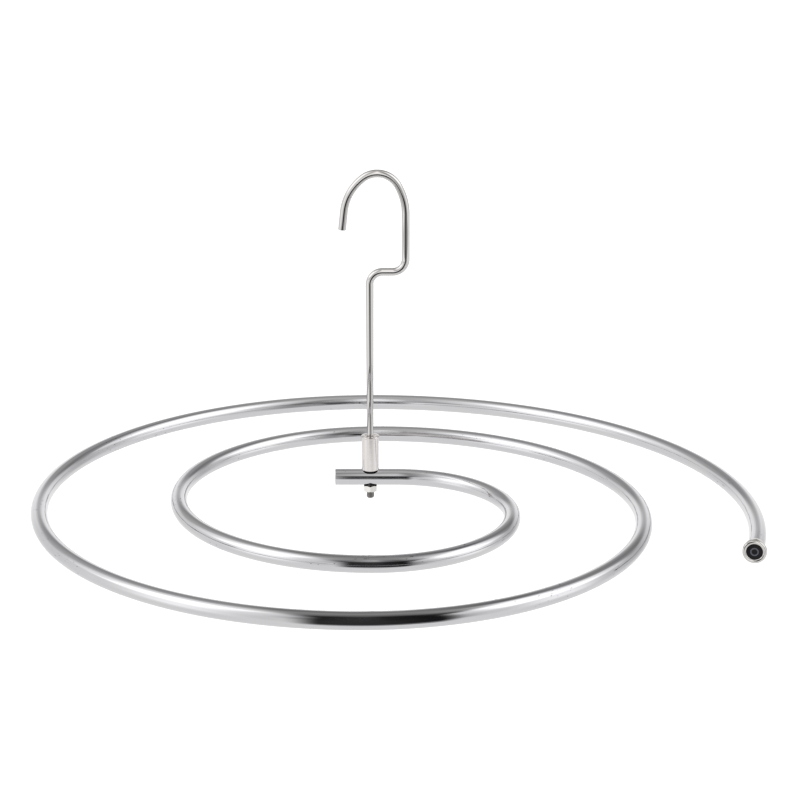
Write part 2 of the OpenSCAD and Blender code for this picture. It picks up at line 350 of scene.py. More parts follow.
tube_finish = drawn_stainless("polished stainless tube", ("#D5D4D4", "#CBCBD0", "#6E6B68"),
                              line_mm=1.0, run_mm=110, depth_mm=0.06, pits=0.02)
coil_values = {
    "Start": coil_centre - Vector((INNER_TAIL, 0, 0)),
    "Inner straight": INNER_TAIL + INNER_LEAD - TUBE_WALL / 2,
    "Outer straight": OUTER_TAIL - TUBE_WALL / 2,
    "Last bend": LAST_BEND,
    "Chords per arc": 60,
    "Radius": TUBE_RADIUS,
    "Bore radius": TUBE_RADIUS - TUBE_WALL,
    "Edge": TUBE_WALL / 2,
    "Sides": 64,
    "Finish": tube_finish,
}
for number, radius_mm in enumerate(QUARTER_RADII_MM):
    coil_values[f"Arc {number + 1}"] = radius_mm * MM
coil_piece = grown(host_object("coil"), coil_tree(), coil_values)
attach(coil_piece, "coil")
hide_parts("spiral_tube")

# ---------------------------------------------------------------- hook wire
# The hook: 6 mm polished stainless wire, bent to a crook, a leg and a stem, with a small
# step between leg and stem. Its lower end is upset to a head, which turns in the sleeve.
WIRE_RADIUS = 3 * MM
TIP_EDGE = 0.5 * MM
SLEEVE_LENGTH = 28 * MM
GUIDE_LENGTH = 6 * MM
HEAD_GAP = 0.3 * MM
HEAD_OUT = 1.2 * MM
HEAD_HEIGHT = 3 * MM
HEAD_EDGE = 0.4 * MM
STEM_RISE = 121.7 * MM
sleeve_top = TUBE_RADIUS + SLEEVE_LENGTH
head_top = sleeve_top - GUIDE_LENGTH - HEAD_GAP
# Each step of the bend: straight length, bend radius and bend angle, left bends positive
WIRE_STEPS = [
    (STEM_RISE + sleeve_top - head_top, 10 * MM, -90),
    (7.7 * MM, 10 * MM, 90),
    (35 * MM, 45 * MM, 30),
    (0, 18 * MM, 98),
    (0, 38 * MM, 46),
    (14 * MM, 0, 0),
]


def bent_line(steps, start, edge):
    """Points along a wire that starts upwards and bends in the plane of X and Z."""
    x, z, heading = start.x, start.z, pi / 2
    points = [(x, start.y, z)]

    def forward(length):
        nonlocal x, z
        x += length * cos(heading)
        z += length * sin(heading)
        points.append((x, start.y, z))

    for number, (straight, radius, degrees) in enumerate(steps):
        at_tip = number == len(steps) - 1
        if straight > 0:
            forward(straight - edge if at_tip else straight)
        chords = abs(degrees)
        for _ in range(chords):
            turn = radians(degrees) / chords
            heading += turn / 2
            forward(2 * radius * abs(sin(turn / 2)))
            heading += turn / 2
        if at_tip:
            for _ in range(END_RINGS):
                forward(edge / END_RINGS)
    return points


def rounded(corners, ease=4):
    """An outline of (radius, height) points from corners (radius, height, rounding).

    ease is the number of steps round each rounded corner.
    """
    outline = []
    last = len(corners) - 1
    for number, (r, z, size) in enumerate(corners):
        here = Vector((r, z))
        if size == 0:
            outline.append(here)
            continue
        before = Vector(corners[number - 1][:2])
        after = Vector(corners[0 if number == last else number + 1][:2])
        a = here + (before - here).normalized() * size
        b = here + (after - here).normalized() * size
        for k in range(ease + 1):
            t = k / ease
            outline.append(a * (1 - t) ** 2 + here * 2 * t * (1 - t) + b * t * t)
    return outline


def turned(name, outline, foot, closed=False, sides=96, sharp=40):
    """A solid turned on a lathe round Z above the point foot, from its outline.

    An outline starts and ends on the axis, or is closed where the piece is a ring. Edges
    bent by more than sharp degrees stay crisp.
    """
    steel = bmesh.new()
    rings = []
    for radius, height in outline:
        if radius < MERGE:
            rings.append([steel.verts.new(foot + Vector((0, 0, height)))] * sides)
            continue
        ring = []
        for k in range(sides):
            angle = 2 * pi * k / sides
            place = Vector((radius * cos(angle), radius * sin(angle), height))
            ring.append(steel.verts.new(foot + place))
        rings.append(ring)
    pairs = list(zip(rings, rings[1:]))
    if closed:
        pairs.append((rings[-1], rings[0]))
    for lower, upper in pairs:
        for k in range(sides):
            n = (k + 1) % sides
            face = dict.fromkeys([lower[k], lower[n], upper[n], upper[k]])
            if len(face) > 2:
                steel.faces.new(face)
    bmesh.ops.remove_doubles(steel, verts=steel.verts, dist=MERGE)
    bmesh.ops.recalc_face_normals(steel, faces=steel.faces)
    piece = host_object(name)
    steel.to_mesh(piece.data)
    steel.free()
    piece.data.shade_smooth()
    piece.data.set_sharp_from_angle(angle=radians(sharp))
    return piece


def add_mesh(piece, extra):
    """Joins the mesh of the object extra to a piece and deletes extra."""
    both = bmesh.new()
    both.from_mesh(piece.data)
    both.from_mesh(extra.data)
    both.to_mesh(piece.data)
    both.free()
    bpy.data.objects.remove(extra)


wire_finish = drawn_stainless("polished stainless wire", ("#D2CFCB", "#CCCBCC", "#8A8782"),
                              line_mm=0.8, run_mm=60, depth_mm=0.01, pits=-0.1)
wire_points = bent_line(WIRE_STEPS, coil_centre + Vector((0, 0, head_top)), TIP_EDGE)
wire = host_object("hook_wire_bar", wire_points, [(i, i + 1) for i in range(len(wire_points) - 1)])
grown(wire, bar_tree("wire along the hook", hollow=False), {
    "Radius": WIRE_RADIUS,
    "Bore radius": WIRE_RADIUS,
    "Edge": TIP_EDGE,
    "Sides": 64,
    "Finish": wire_finish,
})
head_foot = head_top - HEAD_HEIGHT
wire_head = turned("wire_head", rounded([
    (0, head_foot, 0),
    (WIRE_RADIUS + HEAD_OUT, head_foot, HEAD_EDGE),
    (WIRE_RADIUS + HEAD_OUT, head_top, HEAD_EDGE),
    (0, head_top, 0)]), coil_centre)
add_mesh(wire, wire_head)
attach(wire, "hook")
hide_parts("hook_wire")

# ---------------------------------------------------------------- swivel sleeve
# The swivel's barrel: turned from stainless bar and polished, with a rolled rim round the
# hole that guides the wire. It stands on the tube and is pressed over the stud's plug.
SLEEVE_RADIUS = 6.7 * MM
RIM_OUT = 0.35 * MM
RIM_HEIGHT = 1.4 * MM
GUIDE_GAP = 0.08 * MM
GUIDE_MOUTH = 1.0 * MM
# How near a flat face's height a face lies to be part of it
NEAR_FACE = 0.1 * MM


def turned_stainless(name, ring_mm, smooth, rough, depth_mm, tint):
    """Stainless turned on a lathe and polished: fine rings round the axis, ring_mm apart.

    Its roughness runs from smooth to rough across the rings, and its clouds are about 6 mm
    across.
    """
    steel, tree, shader = new_finish(name, {"Metallic": 1.0})
    place = add(tree, "ShaderNodeTexCoord").outputs["Object"]
    ring_scale = (60.0, 60.0, 1 / (ring_mm * MM))
    rings_at = add(tree, "ShaderNodeMapping", {"Vector": place, "Scale": ring_scale}).outputs[0]
    rings = add(tree, "ShaderNodeTexNoise",
                {"Vector": rings_at, "Scale": 1.0, "Detail": 2.0}).outputs[0]
    cloud = add(tree, "ShaderNodeTexNoise",
                {"Vector": place, "Scale": 160.0, "Detail": 2.0}).outputs[0]
    shade = add(tree, "ShaderNodeMix", {0: cloud, 6: colour(tint[0]), 7: colour(tint[1])},
                data_type="RGBA").outputs[2]
    tree.links.new(shade, shader.inputs["Base Color"])
    gloss = add(tree, "ShaderNodeMapRange", {"Value": rings, "From Min": 0.3, "From Max": 0.7,
                "To Min": smooth, "To Max": rough}).outputs[0]
    tree.links.new(gloss, shader.inputs["Roughness"])
    bump = add(tree, "ShaderNodeBump",
               {"Height": rings, "Distance": depth_mm * MM, "Strength": 1.0}).outputs[0]
    tree.links.new(bump, shader.inputs["Normal"])
    return steel


def face_finish(piece, finish, chosen):
    """Gives the faces for which chosen is true a finish of their own."""
    piece.data.materials.append(finish)
    for face in piece.data.polygons:
        if chosen(face):
            face.material_index = len(piece.data.materials) - 1


sleeve_finish = turned_stainless("turned and polished stainless sleeve", ring_mm=0.5, smooth=0.08,
                                 rough=0.2, depth_mm=0.004, tint=("#E8E4E0", "#DDD9D9"))
# A dark, rough steel finish: painted shade for the gaps where the sleeve's foot, the stud's plug and
# the nut's top meet the tube
painted_gap_shade = turned_stainless("stainless face darkened as painted gap shade", ring_mm=0.3, smooth=0.5,
                              rough=0.7, depth_mm=0.02, tint=("#2A2827", "#1E1D1E"))
rim_radius = SLEEVE_RADIUS + RIM_OUT
guide_radius = WIRE_RADIUS + GUIDE_GAP
chamber_radius = WIRE_RADIUS + HEAD_OUT + HEAD_GAP
shoulder = sleeve_top - GUIDE_LENGTH
sleeve = turned("swivel_barrel", rounded([
    (chamber_radius, TUBE_RADIUS, 0),
    (SLEEVE_RADIUS, TUBE_RADIUS, 0.5 * MM),
    (SLEEVE_RADIUS, sleeve_top - RIM_HEIGHT - RIM_OUT, 0.15 * MM),
    (rim_radius, sleeve_top - RIM_HEIGHT, 0.25 * MM),
    (rim_radius, sleeve_top, 0.5 * MM),
    (guide_radius + GUIDE_MOUTH, sleeve_top, 0.25 * MM),
    (guide_radius, sleeve_top - GUIDE_MOUTH, 0.2 * MM),
    (guide_radius, shoulder, 0),
    (chamber_radius, shoulder, 0)]), coil_centre, closed=True)
sleeve.data.materials.append(sleeve_finish)
seat_z = coil_centre.z + TUBE_RADIUS
# The sleeve's foot face, where it stands on the tube, is painted dark: painted shade in the gap under
# it
face_finish(sleeve, painted_gap_shade,
            lambda face: face.normal.z < -0.9 and abs(face.center.z - seat_z) < NEAR_FACE)
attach(sleeve, "coil")
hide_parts("swivel_sleeve")

# ---------------------------------------------------------------- stud
# The stud that holds sleeve and tube together: a plug pressed in the sleeve and, through the
# tube, a shank with a rolled M6 thread of 1 mm pitch, domed at its end.
STUD_RADIUS = 3 * MM
THREAD_PITCH = 1 * MM
THREAD_DEPTH = 0.55 * MM
NUT_HEIGHT = 5 * MM
STUD_TAIL = 6 * MM
THREAD_END = 0.9 * MM
THREAD_DOME = 0.3 * MM
SHANK_IN_PLUG = 0.8 * MM
PLUG_EDGE = 0.4 * MM


def thread_tree():
    """A tree that makes a threaded bar of a grid of points round Z, closed at both ends."""
    tree, given = new_tree("rolled thread", [
        ("Foot", "Vector"), ("Length", "Float"), ("Radius", "Float"), ("Pitch", "Float"),
        ("Depth", "Float"), ("End chamfer", "Float"), ("Dome", "Float"), ("Rings", "Int"),
        ("Sides", "Int"), ("Finish", "Material")])
    columns = add(tree, "ShaderNodeMath", {0: given["Sides"], 1: 1.0}, operation="ADD").outputs[0]
    grid = add(tree, "GeometryNodeMeshGrid", {"Size X": 1.0, "Size Y": 1.0,
               "Vertices X": columns, "Vertices Y": given["Rings"]}).outputs["Mesh"]
    place = add(tree, "GeometryNodeInputPosition").outputs[0]
    share = add(tree, "ShaderNodeSeparateXYZ", {0: place}).outputs
    turn = add(tree, "ShaderNodeMath", {0: share[0], 1: 2 * pi}, operation="MULTIPLY").outputs[0]
    spaces = add(tree, "ShaderNodeMath", {0: given["Rings"], 1: 1.0},
                 operation="SUBTRACT").outputs[0]
    row = add(tree, "ShaderNodeMath", {0: share[1], 1: 0.5}, operation="ADD").outputs[0]
    row = add(tree, "ShaderNodeMath", {0: row, 1: spaces}, operation="MULTIPLY").outputs[0]
    row = add(tree, "ShaderNodeMath", {0: row}, operation="ROUND").outputs[0]
    inner = add(tree, "ShaderNodeMath", {0: spaces, 1: 2.0}, operation="SUBTRACT").outputs[0]
    up = add(tree, "ShaderNodeMath", {0: row, 1: 1.0}, operation="SUBTRACT").outputs[0]
    up = add(tree, "ShaderNodeMath", {0: up, 1: inner}, operation="DIVIDE",
             use_clamp=True).outputs[0]
    height = add(tree, "ShaderNodeMath", {0: up, 1: given["Length"]},
                 operation="MULTIPLY").outputs[0]

    # The thread's flanks: a ridge that climbs one pitch in each turn
    ridge = add(tree, "ShaderNodeMath", {0: height, 1: given["Pitch"]}, operation="DIVIDE").outputs[0]
    ridge = add(tree, "ShaderNodeMath", {0: ridge, 1: share[0]}, operation="SUBTRACT").outputs[0]
    ridge = add(tree, "ShaderNodeMath", {0: ridge, 1: 0.5}, operation="PINGPONG").outputs[0]
    cut = add(tree, "ShaderNodeMapRange", {"Value": ridge, "From Min": 0.08, "From Max": 0.42,
              "To Min": 0.0, "To Max": given["Depth"]}).outputs[0]
    radius = add(tree, "ShaderNodeMath", {0: given["Radius"], 1: cut},
                 operation="SUBTRACT").outputs[0]

    # Both ends are chamfered and closed at a pole, which stands out by the dome's height
    above = add(tree, "ShaderNodeMath", {0: given["Length"], 1: height},
                operation="SUBTRACT").outputs[0]
    near = add(tree, "ShaderNodeMath", {0: height, 1: above}, operation="MINIMUM").outputs[0]
    limit = add(tree, "ShaderNodeMath", {0: given["Radius"], 1: given["End chamfer"]},
                operation="SUBTRACT").outputs[0]
    limit = add(tree, "ShaderNodeMath", {0: limit, 1: near}, operation="ADD").outputs[0]
    radius = add(tree, "ShaderNodeMath", {0: radius, 1: limit}, operation="MINIMUM").outputs[0]
    past = add(tree, "ShaderNodeMath", {0: row, 1: spaces}, operation="PINGPONG").outputs[0]
    first = add(tree, "ShaderNodeMath", {0: row, 1: 0.5}, operation="LESS_THAN").outputs[0]
    last = add(tree, "ShaderNodeMath", {0: spaces, 1: 0.5}, operation="SUBTRACT").outputs[0]
    last = add(tree, "ShaderNodeMath", {0: past, 1: last}, operation="GREATER_THAN").outputs[0]
    pole = add(tree, "ShaderNodeMath", {0: first, 1: last}, operation="ADD").outputs[0]
    radius = add(tree, "GeometryNodeSwitch", {0: pole, 1: radius, 2: 0.0},
                 input_type="FLOAT").outputs[0]
    side = add(tree, "ShaderNodeMath", {0: last, 1: first}, operation="SUBTRACT").outputs[0]
    height = add(tree, "ShaderNodeMath", {0: side, 1: given["Dome"], 2: height},
                 operation="MULTIPLY_ADD").outputs[0]

    across = add(tree, "ShaderNodeMath", {0: turn}, operation="COSINE").outputs[0]
    deep = add(tree, "ShaderNodeMath", {0: turn}, operation="SINE").outputs[0]
    across = add(tree, "ShaderNodeMath", {0: across, 1: radius}, operation="MULTIPLY").outputs[0]
    deep = add(tree, "ShaderNodeMath", {0: deep, 1: radius}, operation="MULTIPLY").outputs[0]
    point = add(tree, "ShaderNodeCombineXYZ", {0: across, 1: deep, 2: height}).outputs[0]
    point = add(tree, "ShaderNodeVectorMath", {0: point, 1: given["Foot"]},
                operation="ADD").outputs[0]
    shaped = add(tree, "GeometryNodeSetPosition", {"Geometry": grid, "Position": point}).outputs[0]
    merged = add(tree, "GeometryNodeMergeByDistance",
                 {"Geometry": shaped, "Distance": MERGE}).outputs[0]
    smooth = add(tree, "GeometryNodeSetShadeSmooth", {"Geometry": merged}).outputs[0]
    real = add(tree, "GeometryNodeRealizeInstances", {"Geometry": smooth}).outputs[0]
    done = add(tree, "GeometryNodeSetMaterial",
               {"Geometry": real, "Material": given["Finish"]}).outputs[0]
    add(tree, "NodeGroupOutput", {0: done})
    return tree


stud_finish = turned_stainless("rolled stainless thread", ring_mm=0.3, smooth=0.15, rough=0.3,
                               depth_mm=0.004, tint=("#A5A2A0", "#8C8A8A"))
nut_foot = -TUBE_RADIUS - NUT_HEIGHT
stud_foot = nut_foot - STUD_TAIL
shank_top = TUBE_RADIUS + SHANK_IN_PLUG
stud = grown(host_object("threaded_stud"), thread_tree(), {
    "Foot": coil_centre + Vector((0, 0, stud_foot + THREAD_DOME)),
    "Length": shank_top - stud_foot - THREAD_DOME,
    "Radius": STUD_RADIUS,
    "Pitch": THREAD_PITCH,
    "Depth": THREAD_DEPTH,
    "End chamfer": THREAD_END,
    "Dome": THREAD_DOME,
    "Rings": 300,
    "Sides": 64,
    "Finish": stud_finish,
})
plug_top = head_top - HEAD_HEIGHT - HEAD_GAP
stud_plug = turned("stud_plug", rounded([
    (0, TUBE_RADIUS, 0),
    (chamber_radius, TUBE_RADIUS, PLUG_EDGE),
    (chamber_radius, plug_top, PLUG_EDGE),
    (0, plug_top, 0)]), coil_centre)
add_mesh(stud, stud_plug)
# The plug's foot face at the tube is painted dark too: painted shade in the same gap
face_finish(stud, painted_gap_shade,
            lambda face: face.normal.z < -0.9 and abs(face.center.z - seat_z) < NEAR_FACE)
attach(stud, "coil")
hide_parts("swivel_stud")

# ---------------------------------------------------------------- nut
# A stainless M6 nut, 10 mm across its flats, cold formed and chamfered at both faces. It is
# run up the stud against the underside of the tube, and one corner points to the front.
NUT_FLATS = 10 * MM
NUT_CHAMFER = radians(30)
NUT_FACE = 4.85 * MM
NUT_LIP = 0.4 * MM


def hex_nut_mesh(name, foot, height, flats, bore, sides=96):
    """A nut as rings of points: the wall follows the hexagon and the chamfer cones trim it."""
    nut = bmesh.new()

    def ring(radius_at, height_at):
        points = []
        for k in range(sides):
            angle = 2 * pi * k / sides
            from_flat = (angle % (pi / 3)) - pi / 6
            wall = flats / 2 / cos(from_flat)
            trim = (wall - NUT_FACE) * tan(NUT_CHAMFER)
            r, z = radius_at(wall), height_at(trim)
            # The corners lie at a quarter turn, so one of them points to the front
            points.append(nut.verts.new(foot + Vector((r * sin(angle), -r * cos(angle), z))))
        return points

    rings = [
        ring(lambda wall: bore, lambda trim: NUT_LIP),
        ring(lambda wall: bore + NUT_LIP, lambda trim: 0),
        ring(lambda wall: NUT_FACE, lambda trim: 0),
        ring(lambda wall: wall, lambda trim: trim),
        ring(lambda wall: wall, lambda trim: height - trim),
        ring(lambda wall: NUT_FACE, lambda trim: height),
        ring(lambda wall: bore + NUT_LIP, lambda trim: height),
        ring(lambda wall: bore, lambda trim: height - NUT_LIP),
    ]
    for lower, upper in zip(rings, rings[1:] + rings[:1]):
        for k in range(sides):
            n = (k + 1) % sides
            nut.faces.new([lower[k], lower[n], upper[n], upper[k]])
    bmesh.ops.recalc_face_normals(nut, faces=nut.faces)
    piece = host_object(name)
    nut.to_mesh(piece.data)
    nut.free()
    piece.data.shade_smooth()
    piece.data.set_sharp_from_angle(angle=radians(20))
    return piece


nut_finish = turned_stainless("cold formed stainless nut", ring_mm=0.8, smooth=0.12, rough=0.22,
                              depth_mm=0.006, tint=("#E6E4E0", "#D8D6D3"))
nut = hex_nut_mesh("stud_nut", coil_centre + Vector((0, 0, nut_foot)), NUT_HEIGHT, NUT_FLATS,
                   STUD_RADIUS)
nut.data.materials.append(nut_finish)
# The nut's top face and the chamfer round it are painted dark: painted shade and a painted dark
# reflection under the tube
chamfer_foot = coil_centre.z - TUBE_RADIUS - 0.8 * MM
face_finish(nut, painted_gap_shade,
            lambda face: face.normal.z > 0.3 and face.center.z > chamfer_foot)
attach(nut, "coil")
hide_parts("hex_nut")

# ---------------------------------------------------------------- end collar
# The collar that finishes the outer end: a pressed stainless ring with a hollow flare, which
# ends in a round bead. It is pushed over the tube and held by a spot weld on top.
COLLAR_OUT = 2.45 * MM
COLLAR_SKIRT = 9.5 * MM
COLLAR_LIP = 2.2 * MM
COLLAR_EDGE = 0.35 * MM
FLARE_STEPS = 12
FLARE_SPREAD = 0.82
BEAD_STEPS = 24
BEAD_START = -0.42 * pi
WELD_BACK = 4.5 * MM
WELD_RADIUS = 3.2 * MM
SPATTER = 0.7 * MM
WELD_ROUGHNESS = 0.5
bore_radius = TUBE_RADIUS - TUBE_WALL


def coil_end():
    """The point where the tube ends, and the heading there, found by walking the arcs."""
    point = coil_centre + Vector((INNER_LEAD, 0, 0))
    heading = 0.0
    bends = [pi / 2] * (len(QUARTER_RADII_MM) - 1) + [LAST_BEND]
    for radius_mm, bend in zip(QUARTER_RADII_MM, bends):
        centre = point - Vector((sin(heading), cos(heading), 0)) * radius_mm * MM
        heading += bend
        point = centre + Vector((sin(heading), cos(heading), 0)) * radius_mm * MM
    return point + Vector((cos(heading), -sin(heading), 0)) * OUTER_TAIL, -heading


def at_end(piece, point, heading):
    """Lays a turned piece along the tube: its own +Z goes out of the tube at that point."""
    out = Vector((cos(heading), sin(heading), 0))
    side = Vector((0, 0, 1)).cross(out)
    for vertex in piece.data.vertices:
        x, y, z = vertex.co
        vertex.co = point + side * x + Vector((0, 0, 1)) * y + out * z
    piece.data.update()


outer_point, outer_heading = coil_end()
bead = (TUBE_RADIUS + COLLAR_OUT - bore_radius) / 2
bead_mid = bore_radius + bead
bead_z = COLLAR_LIP - bead
flare = COLLAR_OUT - COLLAR_EDGE
flare_foot = bead_z - bead - flare
# The skirt, its edge, the hollow flare, the round bead and the step on the tube's end
collar_outline = [(TUBE_RADIUS, -COLLAR_SKIRT),
                  (TUBE_RADIUS + COLLAR_EDGE * 0.6, -COLLAR_SKIRT),
                  (TUBE_RADIUS + COLLAR_EDGE, -COLLAR_SKIRT + COLLAR_EDGE * 0.4)]
for number in range(FLARE_STEPS + 1):
    angle = pi - number / FLARE_STEPS * pi / 2
    flare_out = flare + flare * FLARE_SPREAD * cos(angle)
    collar_outline.append((TUBE_RADIUS + COLLAR_EDGE + flare_out, flare_foot + flare * sin(angle)))
for number in range(BEAD_STEPS + 1):
    angle = BEAD_START + number / BEAD_STEPS * (pi - BEAD_START)
    collar_outline.append((bead_mid + bead * cos(angle), bead_z + bead * sin(angle)))
collar_outline += [(bore_radius, 0), (TUBE_RADIUS, 0)]
collar = turned("end_ring", collar_outline, Vector((0, 0, 0)), closed=True)
at_end(collar, outer_point, outer_heading)
collar_finish = turned_stainless("pressed and polished stainless collar", ring_mm=2.0,
                                 smooth=0.06, rough=0.14, depth_mm=0.004,
                                 tint=("#D6D4D0", "#CBC9C9"))

# The spot weld leaves a small matt patch, speckled by its spatter, on top of the flare
weld_point = outer_point - Vector((cos(outer_heading), sin(outer_heading), 0)) * WELD_BACK
weld_point += Vector((0, 0, TUBE_RADIUS + COLLAR_EDGE))
steel = collar_finish.node_tree
collar_shader = steel.nodes["Principled BSDF"]
collar_place = add(steel, "ShaderNodeTexCoord").outputs["Object"]
from_weld = add(steel, "ShaderNodeVectorMath", {0: collar_place, 1: weld_point},
                operation="DISTANCE").outputs["Value"]
weld = add(steel, "ShaderNodeMapRange", {"Value": from_weld, "From Min": WELD_RADIUS * 0.6,
           "From Max": WELD_RADIUS, "To Min": 1.0, "To Max": 0.0},
           interpolation_type="SMOOTHSTEP").outputs[0]
spatter = add(steel, "ShaderNodeTexNoise",
              {"Vector": collar_place, "Scale": 1 / SPATTER, "Detail": 1.0}).outputs[0]
spatter = add(steel, "ShaderNodeMapRange",
              {"Value": spatter, "From Min": 0.45, "From Max": 0.6}).outputs[0]
weld_tone = add(steel, "ShaderNodeMix", {0: spatter, 6: colour("#A9A7A6"), 7: colour("#6A6867")},
                data_type="RGBA").outputs[2]
polished_tone = collar_shader.inputs["Base Color"].links[0].from_socket
tone = add(steel, "ShaderNodeMix", {0: weld, 6: polished_tone, 7: weld_tone},
           data_type="RGBA").outputs[2]
steel.links.new(tone, collar_shader.inputs["Base Color"])
polished_gloss = collar_shader.inputs["Roughness"].links[0].from_socket
gloss = add(steel, "ShaderNodeMix", {0: weld, 2: polished_gloss, 3: WELD_ROUGHNESS}).outputs[0]
steel.links.new(gloss, collar_shader.inputs["Roughness"])
collar.data.materials.append(collar_finish)
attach(collar, "coil")
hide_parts("end_collar")

# ---------------------------------------------------------------- end plugs
# The push-in plugs that close the tube at both ends: moulded in black polyethylene, with
# ribs that grip the bore and a small ring on the face, left by the mould's core pin.
PLUG_LENGTH = 12 * MM
PLUG_INSET = 0.9 * MM
INNER_PLUG_INSET = 0.4 * MM
CORE_GAP = 0.4 * MM
RIBS = 2
RING_RADIUS = 2.9 * MM
RING_WIDTH = 0.6 * MM
RING_SLOPE = 0.25 * MM
RING_HEIGHT = 0.35 * MM


def moulded_plastic(name, tint):
    """Polyethylene from a spark-eroded mould: soft sheen, with a grain of about 0.4 mm."""
    plastic, tree, shader = new_finish(name, {"IOR": 1.51, "Specular IOR Level": 0.25})
    place = add(tree, "ShaderNodeTexCoord").outputs["Object"]
    grain = add(tree, "ShaderNodeTexNoise",
                {"Vector": place, "Scale": 1 / (0.4 * MM), "Detail": 3.0}).outputs[0]
    shade = add(tree, "ShaderNodeMix", {0: grain, 6: colour(tint[0]), 7: colour(tint[1])},
                data_type="RGBA").outputs[2]
    tree.links.new(shade, shader.inputs["Base Color"])
    rough = add(tree, "ShaderNodeMapRange", {"Value": grain, "To Min": 0.28, "To Max": 0.5}).outputs[0]
    tree.links.new(rough, shader.inputs["Roughness"])
    bump = add(tree, "ShaderNodeBump",
               {"Height": grain, "Distance": 0.01 * MM, "Strength": 1.0}).outputs[0]
    tree.links.new(bump, shader.inputs["Normal"])
    return plastic


def plug_outline():
    """From the inner end to the face: ribs on a core, the rim, and the ring on the face."""
    rib = PLUG_LENGTH / 6
    core = bore_radius - CORE_GAP
    corners = [(0, -PLUG_LENGTH, 0), (core - 0.6 * MM, -PLUG_LENGTH, 0.3 * MM)]
    for number in range(RIBS, 0, -1):
        corners += [(core, -(2 * number + 1) * rib, 0.1 * MM),
                    (bore_radius, -(2 * number + 0.8) * rib, 0.2 * MM),
                    (bore_radius, -(2 * number + 0.2) * rib, 0.2 * MM),
                    (core, -2 * number * rib, 0.1 * MM)]
    corners += [(core, -rib, 0.1 * MM),
                (bore_radius, -0.8 * rib, 0.2 * MM),
                (bore_radius, 0, 0.35 * MM),
                (RING_RADIUS + RING_SLOPE, 0, 0.1 * MM),
                (RING_RADIUS, RING_HEIGHT, 0.12 * MM),
                (RING_RADIUS - RING_WIDTH, RING_HEIGHT, 0.12 * MM),
                (RING_RADIUS - RING_WIDTH - RING_SLOPE, 0, 0.1 * MM),
                (0, 0, 0)]
    return rounded(corners)


plug_finish = moulded_plastic("black moulded polyethylene", ("#050508", "#0C0C11"))
# A lighter grey plastic for the ring on the plug's face: painted sheen on its edge
painted_ring_sheen = moulded_plastic("moulded ring lightened as painted sheen", ("#4A4B54", "#5E5F69"))
inner_point = coil_centre - Vector((INNER_TAIL, 0, 0))
plugs = [("outer_plug", "end_plug", outer_point, outer_heading, COLLAR_LIP - PLUG_INSET),
         ("hidden_plug", "inner_plug", inner_point, pi, -INNER_PLUG_INSET)]
for name, node, point, heading, stand in plugs:
    plug = turned(name, plug_outline(), Vector((0, 0, stand)))
    plug.data.materials.append(plug_finish)
    # The ring on each plug's face is painted lighter, as painted sheen
    face_finish(plug, painted_ring_sheen, lambda face: face.center.z > stand + NEAR_FACE)
    at_end(plug, point, heading)
    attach(plug, "coil")
    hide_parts(node)

# ---------------------------------------------------------------- floor
# A pale, even floor well below the coil, which glows a little, as a light table does. The
# polished metal shows the light tent instead of it.
FLOOR_DROP = 0.6
FLOOR_RADIUS = 16.0
floor_mesh = bmesh.new()
bmesh.ops.create_circle(floor_mesh, cap_ends=True, segments=96, radius=FLOOR_RADIUS)
floor = host_object("floor")
floor_mesh.to_mesh(floor.data)
floor_mesh.free()
floor.location = coil_centre - Vector((0, 0, FLOOR_DROP))
floor_finish = new_finish("pale floor", {
    "Base Color": colour("#EDEDED"),
    "Roughness": 0.9,
    "Specular IOR Level": 0.1,
    "Emission Color": (1, 1, 1, 1),
    "Emission Strength": 0.4,
})
floor.data.materials.append(floor_finish[0])
floor.visible_glossy = False

# ---------------------------------------------------------------- light tent
# A small tent of white cloth: a large soft box shines through each side, the sweep of the
# floor rises behind, and the back and the top are grey. LOW and HIGH hold the cloth's tone
# at a bearing, in degrees from the back to the right.
BRIGHTEST = 1.7
FLOOR_TONE = 0.94
TOP_TONE = (0.62, 0.611, 0.598)
LOW = [(-180, 1.3), (-150, 0.85), (-118, 1.35), (-85, 0.95), (-45, 0.85), (-20, 1.05), (15, 1.05),
       (50, 0.6), (68, 0.75), (100, 1.35), (130, 0.85), (152, 0.35), (180, 1.3)]
HIGH = [(-180, 1.4), (-160, 0.6), (-140, 1.0), (-122, 1.7), (-88, 1.7), (-70, 1.15), (-40, 0.5),
        (-15, 0.36), (5, 0.42), (30, 0.25), (45, 0.35), (62, 1.1), (78, 1.7), (118, 1.7),
        (138, 0.9), (154, 0.3), (165, 0.5), (180, 1.4)]
tent = bpy.data.worlds.new("light tent")
tent.use_nodes = True
bpy.context.scene.world = tent
sky = tent.node_tree
towards = add(sky, "ShaderNodeTexCoord").outputs["Generated"]
right, away, up = add(sky, "ShaderNodeSeparateXYZ", {0: towards}).outputs
bearing = add(sky, "ShaderNodeMath", {0: right, 1: away}, operation="ARCTAN2").outputs[0]
bearing = add(sky, "ShaderNodeMapRange",
              {"Value": bearing, "From Min": -pi, "From Max": pi}).outputs[0]
height_up = add(sky, "ShaderNodeMath", {0: up}, operation="ARCSINE").outputs[0]


def cloth_band(levels):
    """The tone of the cloth all the way round at one height, eased from stop to stop."""
    cloth = add(sky, "ShaderNodeValToRGB", {"Fac": bearing})
    cloth.color_ramp.interpolation = "EASE"
    stops = cloth.color_ramp.elements
    while len(stops) < len(levels):
        stops.new(0.5)
    for stop, (degrees, level) in zip(stops, levels):
        stop.position = (degrees + 180) / 360
        stop.color = (level / BRIGHTEST,) * 3 + (1,)
    return cloth.outputs[0]


def rising(low_degrees, high_degrees):
    """0 below the first height and 1 above the second."""
    return add(sky, "ShaderNodeMapRange", {"Value": height_up, "From Min": radians(low_degrees),
               "From Max": radians(high_degrees)}, interpolation_type="SMOOTHSTEP").outputs[0]


